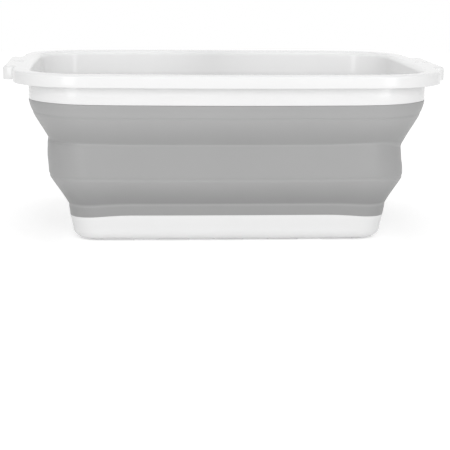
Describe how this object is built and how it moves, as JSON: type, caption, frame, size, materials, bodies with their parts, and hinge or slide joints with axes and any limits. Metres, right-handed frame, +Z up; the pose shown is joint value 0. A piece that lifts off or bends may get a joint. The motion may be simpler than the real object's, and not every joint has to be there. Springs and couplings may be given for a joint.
{
  "type": "collapsible washbasin",
  "caption": "Rectangular camp washbasin with a white rim and base and a soft grey wall that folds flat in two cones; ears with hang holes at both ends.",
  "frame": {"origin": "on the table under the basin's centre, in the plane of the foot ring's underside, with the basin opened out", "axes": "+X along the length through both ears, +Y across the width, +Z up through the open mouth"},
  "size_m": [0.38, 0.2808, 0.1455],
  "materials": {
    "white_plastic": "gloss",
    "grey_rubber": "satin"
  },
  "bodies": {
    "base": {"base_tub": "white_plastic", "wall_lower_band": "grey_rubber", "lower_fold": "grey_rubber"},
    "middle_ring": {"wall_middle_band": "grey_rubber", "upper_fold": "grey_rubber"},
    "rim": {"rim_frame": "white_plastic", "wall_upper_band": "grey_rubber"}
  },
  "joints": [
    {"name": "lower_fold_travel", "type": "slide", "parent": "base", "child": "middle_ring", "axis": [0, 0, -1], "range_m": [0, 0.0485], "deforming": ["lower_fold"]},
    {"name": "upper_fold_travel", "type": "slide", "parent": "middle_ring", "child": "rim", "axis": [0, 0, -1], "range_m": [0, 0.0516], "deforming": ["upper_fold"]}
  ]
}
